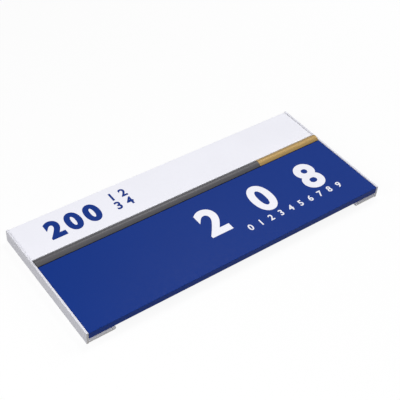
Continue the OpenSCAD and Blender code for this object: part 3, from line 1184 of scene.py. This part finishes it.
def set_figures(body, rows, look):
    """Rows of figures as a thin film on a panel's face, each figure on its own place along its row."""
    middle_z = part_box(body + "_panel")[1].z + sizes().film / 2
    shape = bmesh.new()
    for row in rows:
        height, x, y, pitch, weight = FIGURE_ROWS[row]
        for i, figure in enumerate(getattr(bpy.context.scene.nameplate_stage, row)):
            mesh = figure_mesh(figure, getattr(sizes(), height), weight)
            mesh.transform(Matrix.Translation((x + i * pitch, y, middle_z)))
            shape.from_mesh(mesh)
            bpy.data.meshes.remove(mesh)
    bmesh.ops.remove_doubles(shape, verts=shape.verts, dist=WELD)
    name = body + "_numerals"
    mesh = bpy.data.meshes.new(name)
    shape.to_mesh(mesh)
    shape.free()
    check_closed(name, mesh)
    mesh.materials.clear()
    mesh.materials.append(look)
    made = linked(name, mesh)
    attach(made, body)


# Stage

# Width of the camera's sensor in millimetres, and the nearest that it sees in metres
SENSOR = 36.0
NEAREST = 0.01

# Half the floor's width, and how far it lies under the plate
FLOOR_HALF = 4.0
FLOOR_DROP = 0.02 * MM
WHITE = (1.0, 1.0, 1.0, 1.0)

# Place and width of each square lamp, in metres
LAMPS = {
    "front": ((-0.42, -0.7, 0.92), 0.35),
    "left": ((-1.05, 0.1, 0.62), 0.6),
    "right": ((1.05, 0.1, 0.62), 0.6),
    "back": ((0.52, 0.5, 1.17), 0.45),
}


class NAMEPLATE_OT_stage(Operator):
    """Set up the floor, the soft light and the camera"""

    bl_idname = "nameplate.stage"
    bl_label = "Stage"

    def execute(self, context):
        stage = context.scene.nameplate_stage
        set_camera(stage)
        set_floor(stage)
        set_sky(stage)
        set_lamps(stage)
        context.scene.view_settings.view_transform = "Standard"
        return {"FINISHED"}


def set_camera(stage):
    turn, up = stage.azimuth, stage.elevation
    back = Vector((math.sin(turn) * math.cos(up), -math.cos(turn) * math.cos(up), math.sin(up)))
    level = Vector((math.cos(turn), math.sin(turn), 0.0))
    upright = back.cross(level)
    rolled = Matrix((level, upright, back)).transposed() @ Matrix.Rotation(stage.roll, 3, "Z")
    lens = bpy.data.cameras.new("camera")
    lens.lens = stage.lens
    lens.sensor_width = SENSOR
    lens.clip_start = NEAREST
    made = linked("camera", lens)
    made.matrix_world = rolled.to_4x4()
    made.location = rolled @ Vector((stage.aim_x, stage.aim_y, stage.distance))
    bpy.context.scene.camera = made


def seen_share(tree):
    """1 for rays that show the backdrop itself: to the camera, in a mirror or through glass."""
    path = shade(tree, "LightPath").outputs
    first = worked(tree, "MAXIMUM", path["Is Camera Ray"], path["Is Glossy Ray"])
    return worked(tree, "MAXIMUM", first, path["Is Transmission Ray"])


def emptied(owner):
    owner.use_nodes = True
    owner.node_tree.nodes.clear()
    return owner.node_tree


def set_floor(stage):
    """A wide pale floor that shows white and keeps a soft part of the plate's shadow."""
    corners = [(-1, -1), (1, -1), (1, 1), (-1, 1)]
    mesh = bpy.data.meshes.new("floor")
    mesh.from_pydata([(x * FLOOR_HALF, y * FLOOR_HALF, -FLOOR_DROP) for x, y in corners], [], [(0, 1, 2, 3)])
    floor = linked("floor", mesh)
    made = bpy.data.materials.new("pale_floor")
    tree = emptied(made)
    thrown = shade(tree, "BsdfDiffuse", {"Color": (*[stage.floor_thrown] * 3, 1.0)})
    lit = shade(tree, "BsdfDiffuse", {"Color": (*[stage.floor_shown] * 3, 1.0)})
    white = shade(tree, "Emission", {"Color": WHITE, "Strength": 1.0})
    shown = shade(tree, "MixShader", {0: stage.floor_white, 1: lit, 2: white})
    mixed = shade(tree, "MixShader", {0: seen_share(tree), 1: thrown, 2: shown})
    shade(tree, "OutputMaterial", {"Surface": mixed})
    mesh.materials.append(made)


def set_sky(stage):
    world = bpy.data.worlds.new("even_sky")
    bpy.context.scene.world = world
    tree = emptied(world)
    even = shade(tree, "Background", {"Color": WHITE, "Strength": stage.sky})
    white = shade(tree, "Background", {"Color": WHITE, "Strength": 1.0})
    mixed = shade(tree, "MixShader", {0: seen_share(tree), 1: even, 2: white})
    shade(tree, "OutputWorld", {"Surface": mixed})


def set_lamps(stage):
    for name, (place, wide) in LAMPS.items():
        lamp = bpy.data.lights.new(name + "_light", "AREA")
        lamp.size = wide
        lamp.energy = getattr(stage, name + "_watts")
        made = linked(name + "_light", lamp)
        made.location = place
        made.rotation_mode = "QUATERNION"
        made.rotation_quaternion = (-Vector(place)).to_track_quat("-Z", "Y")


class NAMEPLATE_PT_pieces(Panel):
    """Lists the operators in the order in which they run"""

    bl_idname = "NAMEPLATE_PT_pieces"
    bl_label = "Door name plate"
    bl_space_type = "VIEW_3D"
    bl_region_type = "UI"
    bl_category = "Name plate"

    def draw(self, context):
        for operator in OPERATORS:
            self.layout.operator(operator.bl_idname)


OPERATORS = (
    NAMEPLATE_OT_stage,
    NAMEPLATE_OT_rails,
    NAMEPLATE_OT_panels,
    NAMEPLATE_OT_beads,
    NAMEPLATE_OT_carrier,
    NAMEPLATE_OT_screws,
    NAMEPLATE_OT_clips,
    NAMEPLATE_OT_tapes,
    NAMEPLATE_OT_numerals,
)
GROUPS = {
    "nameplate_sizes": PlateSizes,
    "nameplate_colours": PlateColours,
    "nameplate_stage": PlateStage,
}


def register():
    for made in (*GROUPS.values(), *OPERATORS, NAMEPLATE_PT_pieces):
        bpy.utils.register_class(made)
    for name, group in GROUPS.items():
        setattr(bpy.types.Scene, name, PointerProperty(type=group))


def unregister():
    for name in GROUPS:
        delattr(bpy.types.Scene, name)
    for made in reversed((*GROUPS.values(), *OPERATORS, NAMEPLATE_PT_pieces)):
        bpy.utils.unregister_class(made)


def main():
    register()
    bpy.ops.nameplate.stage()
    bpy.ops.nameplate.rails()
    bpy.ops.nameplate.panels()
    bpy.ops.nameplate.beads()
    bpy.ops.nameplate.carrier()
    bpy.ops.nameplate.screws()
    bpy.ops.nameplate.clips()
    bpy.ops.nameplate.tapes()
    bpy.ops.nameplate.numerals()


if __name__ == "__main__":
    main()
